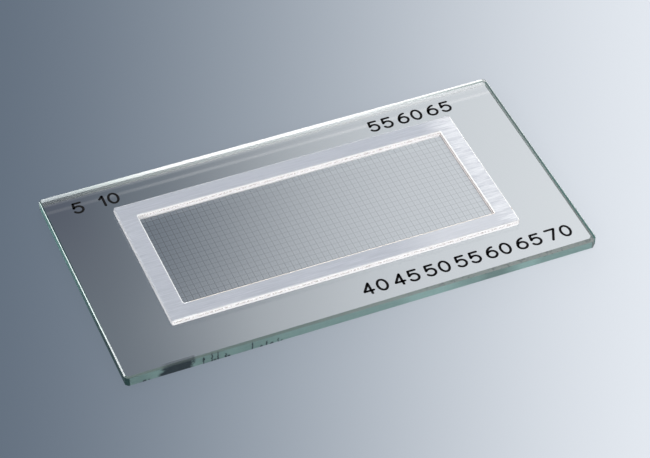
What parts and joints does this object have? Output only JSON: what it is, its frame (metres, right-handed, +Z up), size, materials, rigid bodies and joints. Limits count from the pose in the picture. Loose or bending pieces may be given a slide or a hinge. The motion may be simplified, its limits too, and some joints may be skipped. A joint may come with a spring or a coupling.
{
  "type": "counting chamber",
  "caption": "Ruled glass counting chamber: a flat glass plate with ground edges and a cemented aluminium spacer frame round a shallow gridded well.",
  "frame": {"origin": "centre of the glass plate's underside, the face that the chamber rests on", "axes": "+X along the plate's length, +Y across it towards the far long edge, +Z up out of the well"},
  "size_m": [0.075, 0.04, 0.003],
  "materials": {
    "glass": "polished faces, ground edges",
    "frame_metal": "brushed along its length",
    "cement": "clear, thin",
    "mark_enamel": "fired black enamel"
  },
  "bodies": {
    "root": {"glass_plate": "glass", "spacer_frame": "frame_metal", "cement_film": "cement"}
  },
  "joints": []
}
